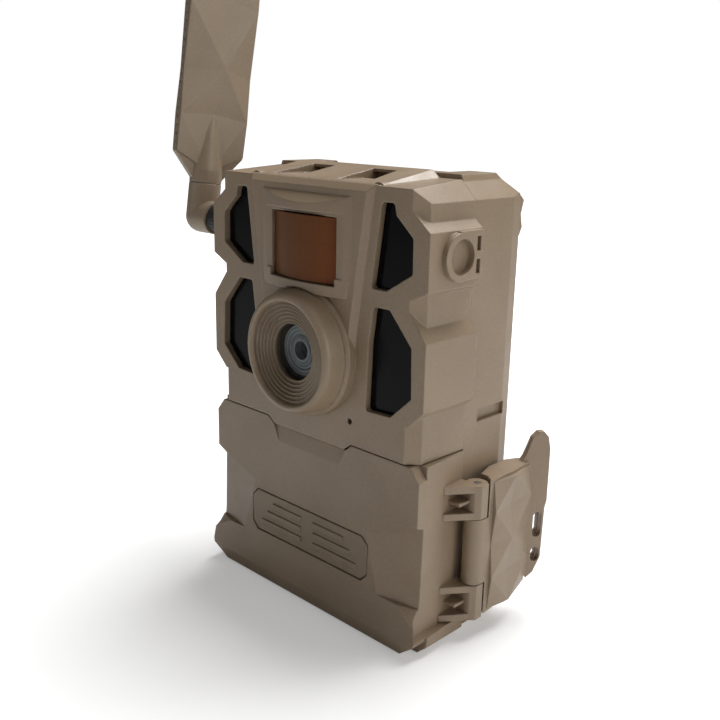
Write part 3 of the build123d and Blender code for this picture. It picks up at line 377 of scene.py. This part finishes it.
def ring(name, centre, axis, radius, thickness, slot, body):
    """A seal ring: a flattened round section swept about an axis."""
    around, about = RING_STEPS_AROUND, RING_STEPS_ABOUT
    turn = Vector(axis).to_track_quat("Z", "Y").to_matrix()
    net = bmesh.new()
    loops = []
    for i in range(around):
        angle = math.tau * i / around
        loop = []
        for j in range(about):
            tilt = math.tau * j / about
            reach = radius + thickness * math.cos(tilt)
            rise = RING_FLATNESS * thickness * math.sin(tilt)
            spot = Vector((reach * math.cos(angle), reach * math.sin(angle), rise))
            loop.append(net.verts.new(Vector(centre) + turn @ spot))
        loops.append(loop)
    for i in range(around):
        for j in range(about):
            a, b = loops[i], loops[(i + 1) % around]
            face = net.faces.new((a[j], b[j], b[(j + 1) % about], a[(j + 1) % about]))
            face.smooth = True
    bmesh.ops.recalc_face_normals(net, faces=net.faces)
    mesh = bpy.data.meshes.new(name)
    net.to_mesh(mesh)
    net.free()
    mesh.materials.append(MATERIALS[slot])
    made = link_new(name, mesh)
    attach(made, body)


turning = next(j for j in frame["joints"] if j["name"] == "antenna_turn")
ring("antenna_seal_ring", turning["pos_m"], turning["axis"], RING_RADIUS, RING_THICKNESS,
     "antenna_plastic", "elbow")

# ---------------------------------------------------------------- floor, light and camera
WORLD_LIGHT = 0.08
FLOOR_SIZE = 6.0
FLOOR_GAP = 0.0002
GLOW_FROM, GLOW_TO = 0.06, 0.50
GLOW_LEAST, GLOW_MOST = 0.30, 1.0
LENS_MM = 45.92
CAMERA_PLACE = (0.21085, -0.23299, 0.16495)
CAMERA_BACK = (0.6743, -0.6898, 0.2639)
CAMERA_RIGHT = (0.7151, 0.6990, 0.0)
CAMERA_ROLL_DEG = 1.26
low, high = cad_box
middle = (low + high) / 2


def floor():
    """White paper. Only the camera sees its glow, which grows with the distance from the object."""
    mesh = bpy.data.meshes.new("floor")
    net = bmesh.new()
    bmesh.ops.create_grid(net, x_segments=8, y_segments=8, size=FLOOR_SIZE)
    net.to_mesh(mesh)
    net.free()
    made = link_new("floor", mesh)
    made.location = (0.0, 0.0, low.z - FLOOR_GAP)
    s = Surface("floor_paper")
    blotches = s.math("MULTIPLY", s.noise(400.0, 3.0), 0.12)
    tone = s.mixed(blotches, (0.86, 0.86, 0.86, 1.0), (0.80, 0.80, 0.81, 1.0))
    shine = s.ranged(s.noise(60.0), 0.3, 0.7, 0.75, 0.85)
    mesh.materials.append(s.finish(tone, shine, s.bump(s.noise(0.6), 0.02, 0.1)))
    away = s.node("ShaderNodeVectorMath", operation="LENGTH")
    s.feed(away.inputs[0], s.coords)
    seen = s.node("ShaderNodeLightPath").outputs["Is Camera Ray"]
    glow = s.ranged(away.outputs["Value"], GLOW_FROM, GLOW_TO, GLOW_LEAST, GLOW_MOST)
    lift = s.math("MULTIPLY", glow, seen)
    s.shader.inputs["Emission Color"].default_value = (1.0, 1.0, 1.0, 1.0)
    s.feed(s.shader.inputs["Emission Strength"], lift)


def softbox(name, place, size, power, colour=(1.0, 1.0, 1.0)):
    data = bpy.data.lights.new(name, "AREA")
    data.shape = "RECTANGLE"
    data.size, data.size_y = size
    data.energy = power
    data.color = colour
    made = link_new(name, data)
    made.location = place
    made.rotation_euler = (middle - Vector(place)).to_track_quat("-Z", "Y").to_euler()


def studio():
    """A world that is white to the camera and dim to the object, and three lamps."""
    world = bpy.data.worlds.new("studio")
    bpy.context.scene.world = world
    world.use_nodes = True
    net = world.node_tree
    background = net.nodes["Background"]
    background.inputs["Color"].default_value = (1.0, 1.0, 1.0, 1.0)
    seen = net.nodes.new("ShaderNodeLightPath").outputs["Is Camera Ray"]
    level = net.nodes.new("ShaderNodeMapRange")
    level.inputs["To Min"].default_value = WORLD_LIGHT
    level.inputs["To Max"].default_value = 1.0
    net.links.new(seen, level.inputs["Value"])
    net.links.new(level.outputs["Result"], background.inputs["Strength"])
    softbox("light_above", (0.02, 0.42, 1.08), (0.8, 0.7), 15.0)
    softbox("light_right", (1.05, -0.05, 0.40), (0.6, 0.8), 3.1, (1.0, 0.985, 0.96))
    softbox("light_front", (-0.55, -1.10, 0.50), (0.9, 0.9), 0.7, (1.0, 0.98, 0.95))


def camera():
    """The photograph's viewpoint, solved from the straight edges of the case."""
    data = bpy.data.cameras.new("camera")
    data.lens = LENS_MM
    data.sensor_width = 36.0
    data.clip_start = 0.01
    made = link_new("camera", data)
    back = Vector(CAMERA_BACK).normalized()
    right = Vector(CAMERA_RIGHT).normalized()
    up = back.cross(right)
    roll = math.radians(CAMERA_ROLL_DEG)
    across = math.cos(roll) * right + math.sin(roll) * up
    upward = back.cross(across)
    made.matrix_world = Matrix((
        (across.x, upward.x, back.x, CAMERA_PLACE[0]),
        (across.y, upward.y, back.y, CAMERA_PLACE[1]),
        (across.z, upward.z, back.z, CAMERA_PLACE[2]),
        (0.0, 0.0, 0.0, 1.0),
    ))
    bpy.context.scene.camera = made


floor()
studio()
camera()
bpy.context.scene.view_settings.view_transform = "Standard"
